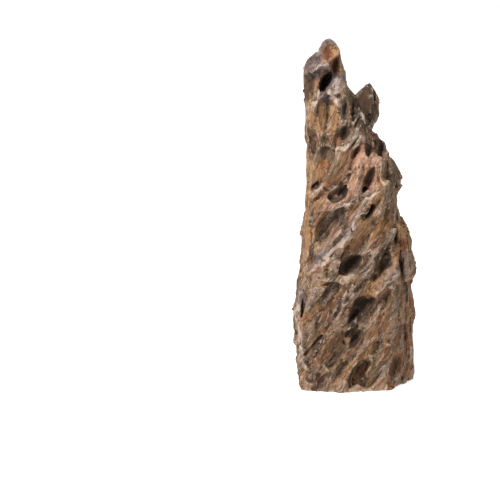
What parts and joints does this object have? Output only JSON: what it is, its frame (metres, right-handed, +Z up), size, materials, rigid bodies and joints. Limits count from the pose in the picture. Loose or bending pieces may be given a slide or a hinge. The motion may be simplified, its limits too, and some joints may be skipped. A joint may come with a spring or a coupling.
{
  "type": "dragon stone",
  "caption": "Tall upright weathered dragon stone with a leaning grain, deep hollows, sharp ledges and a side prong, flat at its foot so that it stands.",
  "frame": {"origin": "middle of the spire's foot, on the level face that it stands on", "axes": "+Z up along the spire, -Y towards the viewer of its front, +X to that viewer's right, the side with the prong"},
  "size_m": [0.1231, 0.0963, 0.349],
  "materials": {
    "weathered_stone": "dry, matt, grainy rock: mauve-grey ridges, brown and ochre hollows with rust and rose patches"
  },
  "bodies": {
    "root": {"dragon_stone": "weathered_stone"}
  },
  "joints": []
}
